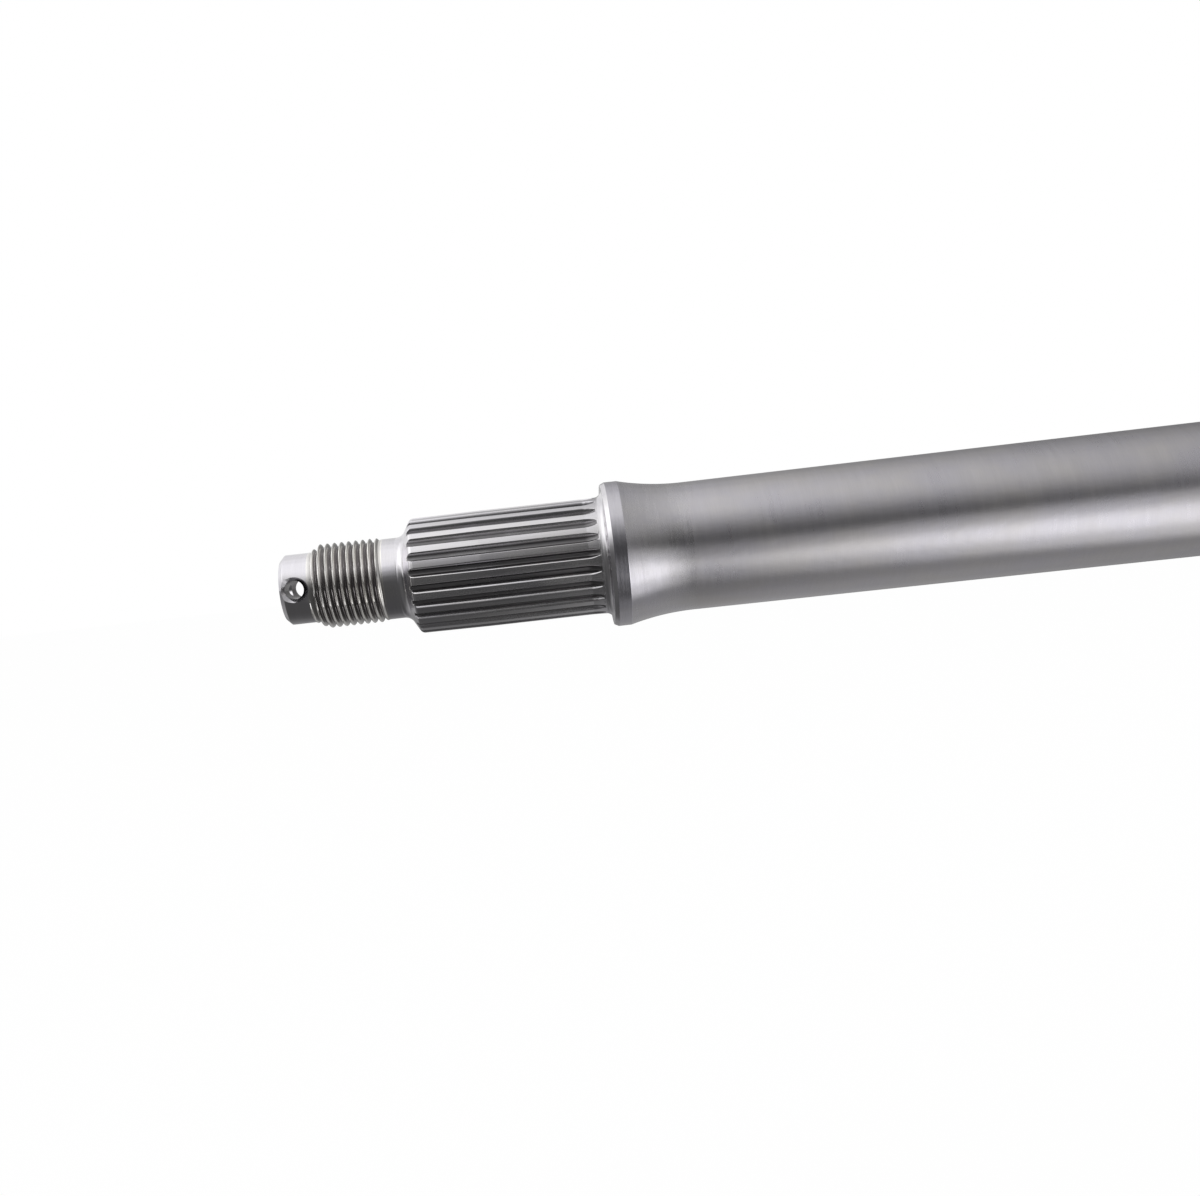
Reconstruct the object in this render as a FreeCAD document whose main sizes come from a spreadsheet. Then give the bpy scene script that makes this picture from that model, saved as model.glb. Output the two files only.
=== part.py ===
"""Solid rear axle shaft, turned from one bar, in millimetres.

The shaft lies along X with its middle at the origin and +Z up. Both ends are alike: a nose with a
cotter hole across it, a thread for the hub nut, a neck, a splined seat for the wheel hub, and a
collar that the hub is clamped against. Behind the collar the body is waisted and grows again
towards the plain bearing seat in the middle, which is wider than the collars so that a bearing
passes over them. The left half is drawn, and its mirror image makes the right half. A tooth of the
spline stands on top, and the cotter hole runs along Y.
"""
import FreeCAD, Part
import math
import os
import Sketcher

SIZES = (
    ("collar_spacing", 563.0, "between the front faces of the two collars"),
    ("stub_length", 69.0, "from a collar's front face to the end of the shaft"),
    ("seat_diameter", 32.0, "plain bearing seat in the middle, wider than the collars"),
    ("seat_length", 180.0, "length of that seat"),
    ("seat_lead_angle", 30.0, "of the short cone at each end of the seat, in degrees"),
    ("seat_step", 1.0, "height of that cone, from the thick end of the tapered body to the seat"),
    ("waist_diameter", 27.5, "thinnest place behind the collar"),
    ("waist_distance", 17.5, "from the collar's front face to the thinnest place"),
    ("collar_diameter", 31.0, "collar that stops the hub"),
    ("collar_width", 3.6, "from the collar's front face to the start of the flare"),
    ("collar_chamfer", 0.5, "broken front edge of the collar"),
    ("shoulder_fillet", 1.9, "radius in the corner before the collar"),
    ("relief_diameter", 24.2, "turned relief before the collar"),
    ("relief_length", 4.2, "from the collar's front face to the full spline"),
    ("relief_angle", 18.0, "of the step down into the relief, in degrees"),
    ("tooth_count", 23.0, "teeth of the spline"),
    ("spline_module", 1.0, "pitch diameter of the spline for each tooth"),
    ("pressure_angle", 20.0, "of the involute flanks, in degrees"),
    ("tooth_shift", 0.8, "profile shift that thickens the teeth, in modules"),
    ("spline_diameter", 24.8, "over the teeth"),
    ("root_diameter", 22.6, "at the bottom of the spaces between the teeth"),
    ("spline_length", 41.1, "from the collar's front face to the ends of the teeth"),
    ("lead_length", 14.0, "slightly thinner lead of the spline"),
    ("lead_drop", 0.14, "how much lower the teeth are at the end of the lead"),
    ("tooth_end_break", 0.35, "height of the flatter chamfer at the tips of the tooth ends"),
    ("tooth_break_angle", 30.0, "of that flatter chamfer, in degrees"),
    ("tooth_end_angle", 60.0, "of the steep chamfer at the ends of the teeth, in degrees"),
    ("cutter_radius", 4.0, "curve in which the spaces run out before the collar"),
    ("cutter_stop", 4.5, "from the collar's front face to the start of that curve"),
    ("neck_diameter", 17.2, "neck between thread and spline"),
    ("neck_fillet", 2.4, "radius from the neck to the spline"),
    ("thread_diameter", 18.0, "major diameter of the thread"),
    ("thread_length", 14.0, "thread with its lead, from the nose"),
    ("thread_lead_angle", 30.0, "of the lead before the first turn, in degrees"),
    ("thread_end_angle", 45.0, "of the step from the thread to the neck, in degrees"),
    ("nose_diameter", 14.9, "plain nose before the thread"),
    ("nose_length", 5.9, "length of the nose"),
    ("nose_chamfer", 1.0, "broken edge of the end face"),
    ("cotter_distance", 3.1, "from the end face to the cotter hole's centre line"),
    ("cotter_diameter", 4.0, "drilled through the nose"),
    ("cotter_mouth", 6.0, "over the countersink where the hole leaves the nose"),
    ("centre_mouth", 4.25, "lathe centre where it meets the end face"),
    ("centre_angle", 60.0, "of the lathe centre, in degrees"),
    ("centre_pilot", 2.0, "drilled hole at the bottom of the lathe centre"),
    ("centre_depth", 4.1, "of the whole lathe centre, to the end of the pilot's wall"),
    ("pilot_point_angle", 118.0, "of the pilot drill's point, in degrees"),
)
SAFE = 1.0      # how far a cutting shape reaches past the surface that it cuts
START, END, CENTRE = range(1, 4)    # a sketch's own numbers for the points of a curve
ORIGIN, UPRIGHT = (-1, START), -2    # the sketch's own origin and its vertical axis


def make_sheet(doc):
    """Write the driving sizes into a sheet, one named row each."""
    sheet = doc.addObject("Spreadsheet::Sheet", "Sizes")
    for row, (name, value, meaning) in enumerate(SIZES, start=1):
        sheet.set("A%d" % row, name)
        sheet.set("B%d" % row, str(value))
        sheet.set("C%d" % row, meaning)
        sheet.setAlias("B%d" % row, name)
    doc.recompute()
    return sheet


def new_sketch(body, name, role):
    """Start a sketch on one of the body's own origin planes."""
    plane = [item for item in body.Origin.OriginFeatures if item.Role == role][0]
    sketch = body.newObject("Sketcher::SketchObject", name)
    sketch.AttachmentSupport = [(plane, "")]
    sketch.MapMode = "FlatFace"
    return sketch


def line(sketch, start, end):
    return sketch.addGeometry(Part.LineSegment(FreeCAD.Vector(*start, 0), FreeCAD.Vector(*end, 0)), False)


def arc(sketch, centre, radius, first, last):
    """Add an arc that runs anticlockwise between two angles in degrees."""
    circle = Part.Circle(FreeCAD.Vector(*centre, 0), FreeCAD.Vector(0, 0, 1), radius)
    return sketch.addGeometry(Part.ArcOfCircle(circle, math.radians(first), math.radians(last)), False)


def join(sketch, first, second):
    sketch.addConstraint(Sketcher.Constraint("Coincident", *first, *second))


def blend(sketch, first, second):
    """Join two ends so that the curves run smoothly into each other."""
    sketch.addConstraint(Sketcher.Constraint("Tangent", *first, *second))


def bind(sketch, index, name, expression):
    sketch.renameConstraint(index, name)
    sketch.setExpression("Constraints." + name, expression)


def span(sketch, kind, name, first, second, value, expression):
    """Dimension from one sketch point to another, tied to the sheet."""
    index = sketch.addConstraint(Sketcher.Constraint(kind, *first, *second, value))
    bind(sketch, index, name, expression)


def bound_radius(sketch, name, curve, value, expression):
    bind(sketch, sketch.addConstraint(Sketcher.Constraint("Radius", curve, value)), name, expression)


def bound_slope(sketch, name, edge, degrees, expression):
    """Angle of a line, from its start to its end, to the sketch's horizontal."""
    index = sketch.addConstraint(Sketcher.Constraint("Angle", edge, math.radians(degrees)))
    bind(sketch, index, name, expression)


def turned_outline(body, size):
    """Draw the half section of the left half of the shaft, from the end face to the middle."""
    sketch = new_sketch(body, "turned_outline", "XY_Plane")
    shoulder = -size["collar_spacing"] / 2
    tip = shoulder - size["stub_length"]
    slope = math.radians(size["tooth_end_angle"])
    neck, fillet = size["neck_diameter"] / 2, size["neck_fillet"]
    relief, corner = size["relief_diameter"] / 2, size["shoulder_fillet"]
    full, lead = size["spline_diameter"] / 2, size["spline_diameter"] / 2 - size["lead_drop"]
    thread_end = tip + size["nose_length"] + size["thread_length"]
    teeth = shoulder - size["spline_length"]
    fillet_top = neck + fillet * (1 - math.cos(slope))
    chamfer_foot = teeth - (lead - size["tooth_end_break"] - fillet_top) / math.tan(slope)
    pilot, mouth = size["centre_pilot"] / 2, size["centre_mouth"] / 2
    nose, thread = size["nose_diameter"] / 2, size["thread_diameter"] / 2
    cone = (mouth - pilot) / math.tan(math.radians(size["centre_angle"] / 2))
    point = pilot / math.tan(math.radians(size["pilot_point_angle"] / 2))
    collar, band = size["collar_diameter"] / 2, shoulder + size["collar_width"]
    waist, seat_start = size["waist_diameter"] / 2, (-size["seat_length"] / 2, size["seat_diameter"] / 2)
    arm, rise = seat_start[1] - size["seat_step"], size["seat_step"]
    seat_run = rise / math.tan(math.radians(size["seat_lead_angle"]))
    tip_break, broken = size["tooth_end_break"], size["collar_chamfer"]

    pilot_bottom = (tip + size["centre_depth"], pilot)
    pilot_point = line(sketch, (pilot_bottom[0] + point, 0), pilot_bottom)
    pilot_wall = line(sketch, pilot_bottom, (tip + cone, pilot))
    centre_cone = line(sketch, (tip + cone, pilot), (tip, mouth))
    end_face = line(sketch, (tip, mouth), (tip, nose - size["nose_chamfer"]))
    end_chamfer = line(sketch, (tip, nose - size["nose_chamfer"]), (tip + size["nose_chamfer"], nose))
    nose_end = (tip + size["nose_length"], nose)
    nose_wall = line(sketch, (tip + size["nose_chamfer"], nose), nose_end)
    lead_run = (thread - nose) / math.tan(math.radians(size["thread_lead_angle"]))
    thread_lead = line(sketch, nose_end, (nose_end[0] + lead_run, thread))
    thread_wall = line(sketch, (nose_end[0] + lead_run, thread), (thread_end, thread))
    step_end = thread_end + (thread - neck) / math.tan(math.radians(size["thread_end_angle"]))
    thread_step = line(sketch, (thread_end, thread), (step_end, neck))
    arc_start = chamfer_foot - fillet * math.sin(slope)
    neck_wall = line(sketch, (step_end, neck), (arc_start, neck))
    neck_arc = arc(sketch, (arc_start, neck + fillet), fillet, 270, 270 + size["tooth_end_angle"])
    chamfer_end = (teeth, lead - tip_break)
    tooth_chamfer = line(sketch, (chamfer_foot, fillet_top), chamfer_end)
    break_end = (teeth + tip_break / math.tan(math.radians(size["tooth_break_angle"])), lead)
    tooth_break = line(sketch, chamfer_end, break_end)
    lead_end = (break_end[0] + size["lead_length"], full)
    lead_wall = line(sketch, break_end, lead_end)
    relief_start = shoulder - size["relief_length"]
    tooth_wall = line(sketch, lead_end, (relief_start, full))
    relief_foot = (relief_start + (full - relief) / math.tan(math.radians(size["relief_angle"])), relief)
    relief_step = line(sketch, (relief_start, full), relief_foot)
    relief_wall = line(sketch, relief_foot, (shoulder - corner, relief))
    corner_arc = arc(sketch, (shoulder - corner, relief + corner), corner, 270, 360)
    collar_face = line(sketch, (shoulder, relief + corner), (shoulder, collar - broken))
    collar_edge = line(sketch, (shoulder, collar - broken), (shoulder + broken, collar))
    collar_wall = line(sketch, (shoulder + broken, collar), (band, collar))
    arm_end = (seat_start[0] - seat_run, arm)
    taper_slope = math.atan((arm - waist) / (arm_end[0] - shoulder - size["waist_distance"]))
    waist_point = FreeCAD.Vector(shoulder + size["waist_distance"], waist, 0)
    chord = FreeCAD.Vector(band, collar, 0) - waist_point
    normal = FreeCAD.Vector(-math.sin(taper_slope), math.cos(taper_slope), 0)
    hollow = chord.dot(chord) / (2 * chord.dot(normal))
    hub = waist_point + normal * hollow
    opening = math.degrees(math.atan2(collar - hub.y, band - hub.x)) % 360
    flare = arc(sketch, (hub.x, hub.y), hollow, opening, 270 + math.degrees(taper_slope))
    taper = line(sketch, (waist_point.x, waist), arm_end)
    seat_lead = line(sketch, arm_end, seat_start)
    seat_wall = line(sketch, seat_start, (0, seat_start[1]))
    middle = line(sketch, (0, seat_start[1]), (0, 0))
    centre_line = line(sketch, (0, 0), (pilot_bottom[0] + point, 0))

    walls = (pilot_point, pilot_wall, centre_cone, end_face, end_chamfer, nose_wall, thread_lead, thread_wall,
             thread_step, neck_wall)
    for first, second in zip(walls, walls[1:]):
        join(sketch, (first, END), (second, START))
    blend(sketch, (neck_wall, END), (neck_arc, START))
    blend(sketch, (neck_arc, END), (tooth_chamfer, START))
    walls = (tooth_chamfer, tooth_break, lead_wall, tooth_wall, relief_step, relief_wall)
    for first, second in zip(walls, walls[1:]):
        join(sketch, (first, END), (second, START))
    blend(sketch, (relief_wall, END), (corner_arc, START))
    blend(sketch, (corner_arc, END), (collar_face, START))
    join(sketch, (collar_face, END), (collar_edge, START))
    join(sketch, (collar_edge, END), (collar_wall, START))
    join(sketch, (collar_wall, END), (flare, START))
    blend(sketch, (flare, END), (taper, START))
    walls = (taper, seat_lead, seat_wall, middle, centre_line, pilot_point)
    for first, second in zip(walls, walls[1:]):
        join(sketch, (first, END), (second, START))
    join(sketch, (centre_line, START), ORIGIN)

    level = (pilot_wall, nose_wall, thread_wall, neck_wall, tooth_wall, relief_wall, collar_wall, seat_wall,
             centre_line)
    for wall in level:
        sketch.addConstraint(Sketcher.Constraint("Horizontal", wall))
    for wall in (end_face, collar_face, middle):
        sketch.addConstraint(Sketcher.Constraint("Vertical", wall))

    radii = (("pilot", pilot_wall, START, "centre_pilot"), ("mouth", centre_cone, END, "centre_mouth"),
             ("nose", nose_wall, START, "nose_diameter"), ("thread", thread_wall, START, "thread_diameter"),
             ("neck", neck_wall, START, "neck_diameter"), ("teeth", tooth_wall, START, "spline_diameter"),
             ("relief", relief_wall, START, "relief_diameter"),
             ("collar", collar_wall, START, "collar_diameter"), ("waist", taper, START, "waist_diameter"),
             ("seat", seat_wall, START, "seat_diameter"))
    for name, wall, end, alias in radii:
        span(sketch, "DistanceY", name + "_radius", ORIGIN, (wall, end), size[alias] / 2,
             "Sizes." + alias + " / 2")

    face, edge = (collar_face, START), (end_face, START)
    lengths = (("half_spacing", face, ORIGIN, "collar_spacing", 2), ("stub", edge, face, "stub_length", 1),
               ("nose_run", edge, (nose_wall, END), "nose_length", 1),
               ("nose_edge", edge, (end_chamfer, END), "nose_chamfer", 1),
               ("thread_run", (nose_wall, END), (thread_wall, END), "thread_length", 1),
               ("lead_run", (lead_wall, START), (lead_wall, END), "lead_length", 1),
               ("relief_run", (tooth_wall, END), face, "relief_length", 1),
               ("collar_break", face, (collar_edge, END), "collar_chamfer", 1),
               ("collar_run", face, (collar_wall, END), "collar_width", 1),
               ("waist_run", face, (taper, START), "waist_distance", 1),
               ("half_seat", (seat_wall, START), (seat_wall, END), "seat_length", 2),
               ("centre_run", edge, (pilot_wall, START), "centre_depth", 1))
    for name, first, second, alias, share in lengths:
        span(sketch, "DistanceX", name, first, second, size[alias] / share,
             "Sizes." + alias + (" / 2" if share == 2 else ""))
    span(sketch, "DistanceX", "teeth_run", (tooth_chamfer, END), face, size["spline_length"],
         "Sizes.spline_length")
    span(sketch, "DistanceY", "break_rise", (tooth_break, START), (tooth_break, END), tip_break,
         "Sizes.tooth_end_break")
    span(sketch, "DistanceY", "lead_rise", (lead_wall, START), (lead_wall, END), size["lead_drop"],
         "Sizes.lead_drop")
    span(sketch, "DistanceY", "seat_rise", (seat_lead, START), (seat_lead, END), rise, "Sizes.seat_step")
    span(sketch, "DistanceY", "collar_rise", (collar_edge, START), (collar_edge, END),
         size["collar_chamfer"], "Sizes.collar_chamfer")
    span(sketch, "DistanceY", "nose_rise", (end_chamfer, START), (end_chamfer, END),
         size["nose_chamfer"], "Sizes.nose_chamfer")
    bound_radius(sketch, "neck_bend", neck_arc, fillet, "Sizes.neck_fillet")
    bound_radius(sketch, "corner_bend", corner_arc, corner, "Sizes.shoulder_fillet")
    bound_slope(sketch, "tooth_slope", tooth_chamfer, size["tooth_end_angle"], "Sizes.tooth_end_angle")
    bound_slope(sketch, "break_slope", tooth_break, size["tooth_break_angle"], "Sizes.tooth_break_angle")
    bound_slope(sketch, "lead_slope", thread_lead, size["thread_lead_angle"], "Sizes.thread_lead_angle")
    bound_slope(sketch, "step_slope", thread_step, -size["thread_end_angle"], "-Sizes.thread_end_angle")
    bound_slope(sketch, "relief_slope", relief_step, -size["relief_angle"], "-Sizes.relief_angle")
    bound_slope(sketch, "seat_slope", seat_lead, size["seat_lead_angle"], "Sizes.seat_lead_angle")
    bound_slope(sketch, "centre_slope", centre_cone, 180 - size["centre_angle"] / 2,
                "180 - Sizes.centre_angle / 2")
    bound_slope(sketch, "point_slope", pilot_point, 180 - size["pilot_point_angle"] / 2,
                "180 - Sizes.pilot_point_angle / 2")
    return sketch


def tooth_space_outline(body, size):
    """Draw the space between two teeth, seen along the shaft, at the bottom of the spline.

    Each flank is the arc that touches the involute on the pitch circle: its centre is where the
    line of action meets the base circle, and its radius is the involute's own radius there.
    """
    sketch = new_sketch(body, "tooth_space", "YZ_Plane")
    sketch.setExpression("AttachmentOffset.Base.z",
                         "-(Sizes.collar_spacing / 2 + Sizes.spline_length + %g"
                         " + (Sizes.spline_diameter - Sizes.root_diameter) / 2 / tan(Sizes.tooth_end_angle))"
                         % SAFE)
    action = math.radians(size["pressure_angle"])
    pitch = size["spline_module"] * size["tooth_count"] / 2
    half_space = (math.pi / 2 - 2 * size["tooth_shift"] * math.tan(action)) / size["tooth_count"]
    hub = (pitch * math.cos(action) * math.sin(half_space + action),
           -pitch * math.cos(action) * math.cos(half_space + action))
    bend = pitch * math.sin(action)
    root, top = -size["root_diameter"] / 2, -(size["spline_diameter"] / 2 + SAFE)
    low = math.asin((hub[1] - root) / bend)
    high = math.asin((hub[1] - top) / bend)
    right = arc(sketch, hub, bend, 180 + math.degrees(low), 180 + math.degrees(high))
    left = arc(sketch, (-hub[0], hub[1]), bend, 360 - math.degrees(high), 360 - math.degrees(low))
    reach = (hub[0] - bend * math.cos(low), hub[0] - bend * math.cos(high))
    floor = line(sketch, (-reach[0], root), (reach[0], root))
    lid = line(sketch, (reach[1], top), (-reach[1], top))
    join(sketch, (floor, END), (right, START))
    join(sketch, (right, END), (lid, START))
    join(sketch, (lid, END), (left, START))
    join(sketch, (left, END), (floor, START))
    for edge in (floor, lid):
        sketch.addConstraint(Sketcher.Constraint("Symmetric", edge, START, edge, END, UPRIGHT))
    sketch.addConstraint(Sketcher.Constraint("Equal", left, right))
    pitch_radius = "Sizes.spline_module * Sizes.tooth_count / 2"
    angle = ("(Sizes.pressure_angle + (90 - 360 / pi * Sizes.tooth_shift * tan(Sizes.pressure_angle))"
             " / Sizes.tooth_count)")
    span(sketch, "DistanceX", "flank_side", ORIGIN, (right, CENTRE), hub[0],
         pitch_radius + " * cos(Sizes.pressure_angle) * sin" + angle)
    span(sketch, "DistanceY", "flank_height", ORIGIN, (right, CENTRE), hub[1],
         "-" + pitch_radius + " * cos(Sizes.pressure_angle) * cos" + angle)
    bound_radius(sketch, "flank_bend", right, bend, pitch_radius + " * sin(Sizes.pressure_angle)")
    span(sketch, "DistanceY", "root_depth", ORIGIN, (floor, END), root, "-Sizes.root_diameter / 2")
    span(sketch, "DistanceY", "top_height", ORIGIN, (lid, START), top,
         "-(Sizes.spline_diameter / 2 + %g)" % SAFE)
    return sketch


def cutter_path(body, size):
    """Draw the way of the cutter: along the root of a space, then out in a curve before the collar."""
    sketch = new_sketch(body, "cutter_path", "XZ_Plane")
    shoulder, root = -size["collar_spacing"] / 2, -size["root_diameter"] / 2
    height = (size["spline_diameter"] - size["root_diameter"]) / 2
    start = (shoulder - size["spline_length"] - SAFE
             - height / math.tan(math.radians(size["tooth_end_angle"])))
    stop, bend = shoulder - size["cutter_stop"], size["cutter_radius"]
    leave = math.degrees(math.acos(1 - (height + SAFE / 2) / bend))
    run = line(sketch, (start, root), (stop, root))
    curve = arc(sketch, (stop, root - bend), bend, 90 - leave, 90)
    blend(sketch, (run, END), (curve, END))
    sketch.addConstraint(Sketcher.Constraint("Horizontal", run))
    span(sketch, "DistanceY", "root_depth", ORIGIN, (run, START), root, "-Sizes.root_diameter / 2")
    span(sketch, "DistanceX", "start", ORIGIN, (run, START), start,
         "-(Sizes.collar_spacing / 2 + Sizes.spline_length + %g"
         " + (Sizes.spline_diameter - Sizes.root_diameter) / 2 / tan(Sizes.tooth_end_angle))" % SAFE)
    span(sketch, "DistanceX", "stop", ORIGIN, (run, END), stop,
         "-(Sizes.collar_spacing / 2 + Sizes.cutter_stop)")
    bound_radius(sketch, "bend", curve, bend, "Sizes.cutter_radius")
    span(sketch, "DistanceY", "way_out", ORIGIN, (curve, START), root - height - SAFE / 2,
         "-(Sizes.spline_diameter / 2 + %g)" % (SAFE / 2))
    return sketch


def cotter_outline(body, size):
    """Draw half of the cotter hole with a countersink at both sides of the nose, about its own axis."""
    sketch = new_sketch(body, "cotter_outline", "XY_Plane")
    sketch.setExpression("AttachmentOffset.Base.x",
                         "-(Sizes.collar_spacing / 2 + Sizes.stub_length - Sizes.cotter_distance)")
    nose, bore, mouth = size["nose_diameter"] / 2, size["cotter_diameter"] / 2, size["cotter_mouth"] / 2
    foot, edge = nose - (mouth - bore), nose + SAFE
    corners = [(0, -edge), (mouth + SAFE, -edge), (bore, -foot), (bore, foot), (mouth + SAFE, edge), (0, edge)]
    sides = [line(sketch, first, second) for first, second in zip(corners, corners[1:] + corners[:1])]
    for first, second in zip(sides, sides[1:] + sides[:1]):
        join(sketch, (first, END), (second, START))
    near, near_cone, wall, far_cone, far, axis = sides
    for side in (near, far):
        sketch.addConstraint(Sketcher.Constraint("Horizontal", side))
    for side in (wall, axis):
        sketch.addConstraint(Sketcher.Constraint("Vertical", side))
    sketch.addConstraint(Sketcher.Constraint("PointOnObject", axis, END, UPRIGHT))
    span(sketch, "DistanceX", "bore_radius", (axis, END), (wall, START), bore, "Sizes.cotter_diameter / 2")
    span(sketch, "DistanceX", "near_mouth", (near, START), (near, END), mouth + SAFE,
         "Sizes.cotter_mouth / 2 + %g" % SAFE)
    span(sketch, "DistanceX", "far_mouth", (far, END), (far, START), mouth + SAFE,
         "Sizes.cotter_mouth / 2 + %g" % SAFE)
    for name, point, value, expression in (
            ("near_edge", (near, END), -edge, "-(Sizes.nose_diameter / 2 + %g)" % SAFE),
            ("far_edge", (far, START), edge, "Sizes.nose_diameter / 2 + %g" % SAFE),
            ("near_foot", (wall, START), -foot,
             "-(Sizes.nose_diameter - Sizes.cotter_mouth + Sizes.cotter_diameter) / 2"),
            ("far_foot", (wall, END), foot,
             "(Sizes.nose_diameter - Sizes.cotter_mouth + Sizes.cotter_diameter) / 2")):
        span(sketch, "DistanceY", name, ORIGIN, point, value, expression)
    return sketch


def removed(doc, body, feature, before):
    """Recompute and stop if a cut took nothing away."""
    body.Tip = feature
    doc.recompute()
    if not feature.Shape.Volume < before:
        raise RuntimeError(feature.Name + " cuts nothing")
    return feature.Shape.Volume


def make_shaft(doc, size):
    """Turn the left half, cut its spline and cotter hole, and mirror it."""
    body = doc.addObject("PartDesign::Body", "AxleShaft")
    body.Label = "axle_shaft"
    axis = {item.Role: item for item in body.Origin.OriginFeatures}

    outline = turned_outline(body, size)
    turned = body.newObject("PartDesign::Revolution", "turned_half")
    turned.Profile = outline
    turned.ReferenceAxis = (outline, ["H_Axis"])
    turned.Angle = 360.0
    body.Tip = turned
    doc.recompute()
    volume = turned.Shape.Volume

    space = tooth_space_outline(body, size)
    path = cutter_path(body, size)
    doc.recompute()
    first_space = body.newObject("PartDesign::SubtractivePipe", "first_space")
    first_space.Profile = space
    first_space.Spine = (path, ["Edge1", "Edge2"])
    volume = removed(doc, body, first_space, volume)
    spline = body.newObject("PartDesign::PolarPattern", "spline")
    spline.Originals = [first_space]
    spline.Axis = (axis["X_Axis"], [""])
    spline.Angle = 360.0
    spline.setExpression("Occurrences", "Sizes.tooth_count")
    volume = removed(doc, body, spline, volume)

    cotter = body.newObject("PartDesign::Groove", "cotter_hole")
    cotter.Profile = cotter_outline(body, size)
    cotter.ReferenceAxis = (cotter.Profile[0], ["V_Axis"])
    cotter.Angle = 360.0
    volume = removed(doc, body, cotter, volume)

    whole = body.newObject("PartDesign::Mirrored", "both_ends")
    whole.TransformMode = "Whole shape"
    whole.MirrorPlane = (axis["YZ_Plane"], [""])
    body.Tip = whole
    doc.recompute()
    if abs(whole.Shape.Volume / volume - 2) > 1e-6:
        raise RuntimeError("the mirrored shaft isn't two halves")
    return body


def check(doc, parts):
    """Stop if any object failed or any finished piece isn't one valid solid."""
    for item in doc.Objects:
        if "Invalid" in item.State or "Error" in item.State:
            raise RuntimeError("%s failed: %s" % (item.Name, item.State))
        if item.isDerivedFrom("Sketcher::SketchObject") and not item.FullyConstrained:
            raise RuntimeError(item.Name + " has a size that nothing sets")
    for part in parts:
        shape = part.Shape
        if shape.isNull() or not shape.isValid() or len(shape.Solids) != 1:
            raise RuntimeError(part.Label + " isn't one valid solid")


def main():
    doc = FreeCAD.newDocument("axle_shaft")
    sheet = make_sheet(doc)
    size = {name: float(sheet.get(name)) for name, value, meaning in SIZES}
    parts = [make_shaft(doc, size)]
    check(doc, parts)
    os.makedirs("parts", exist_ok=True)
    for part in parts:
        part.Shape.exportStep("parts/%s.step" % part.Label)
        box = part.Shape.optimalBoundingBox(False)
        print(part.Label, "volume %.1f" % part.Shape.Volume, "faces", len(part.Shape.Faces),
              "box %.2f x %.2f x %.2f" % (box.XLength, box.YLength, box.ZLength))


main()
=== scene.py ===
"""Solid rear axle shaft of bare steel, held in the air over a pale floor.

One fine surface stands for the whole shaft. It has what the solid leaves out: the turns of both
threads, the small radii in the roots and on the ends of the spline teeth, and softly broken edges.
Sizes are in millimetres and written to the mesh in metres. The shaft lies along X, the
photographed end at -X, and the second end is the first one turned half a turn about Z.
"""
import math

import bpy
import numpy as np
from mathutils import Matrix, Vector


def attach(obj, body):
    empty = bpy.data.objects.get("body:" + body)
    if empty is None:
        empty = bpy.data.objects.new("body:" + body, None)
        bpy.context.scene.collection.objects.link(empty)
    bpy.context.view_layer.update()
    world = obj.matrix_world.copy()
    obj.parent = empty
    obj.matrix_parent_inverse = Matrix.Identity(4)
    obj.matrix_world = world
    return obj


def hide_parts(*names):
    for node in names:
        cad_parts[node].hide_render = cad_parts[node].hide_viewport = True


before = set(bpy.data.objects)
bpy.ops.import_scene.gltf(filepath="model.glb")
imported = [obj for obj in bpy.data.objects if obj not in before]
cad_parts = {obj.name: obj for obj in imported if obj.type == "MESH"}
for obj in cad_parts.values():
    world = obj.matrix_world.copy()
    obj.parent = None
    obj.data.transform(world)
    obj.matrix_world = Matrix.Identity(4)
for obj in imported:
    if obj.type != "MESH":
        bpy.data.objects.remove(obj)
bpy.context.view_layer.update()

MM = 0.001
COLUMNS = 112                       # columns round the plain turned parts
SHAFT_END, CENTRE_TIP, COLLAR_FACE = -350.5, -345.8, -281.5
NOSE_RADIUS, NOSE_END = 7.45, -344.6
THREAD_CREST, THREAD_ROOT, THREAD_PITCH, THREAD_LEAD = 9.0, 8.08, 1.5, 30.0
THREAD_FADE = (-330.4, -328.8)      # the last turn runs out over this stretch
NECK_RADIUS = 8.6
TEETH, ROOT_RADIUS, TOOTH_RADIUS, LEAD_RADIUS = 23, 11.3, 12.4, 12.26
TEETH_START, TEETH_STOP = -323.56, -283.1
FLANK_HUB, FLANK_BEND = (4.1289, 9.9866), 3.9332
CUTTER_STOP, CUTTER_RADIUS = -286.0, 4.0
SPACE_FILLET, LAND_EDGE = 0.18, 0.09
COTTER_X, COTTER_RADIUS, DRILL_COLUMNS = -347.4, 2.0, 64
COLLAR_REAR, COLLAR_RADIUS = -277.9, 15.5
WAIST_X, WAIST_RADIUS = -264.0, 13.75
TAPER_STOP, TAPER_RADIUS = -91.732, 15.0
SEAT_START, SEAT_RADIUS = -90.0, 15.95
FLOOR_LEVEL, FLOOR_HALF = -0.16, 6.0    # in metres

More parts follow.
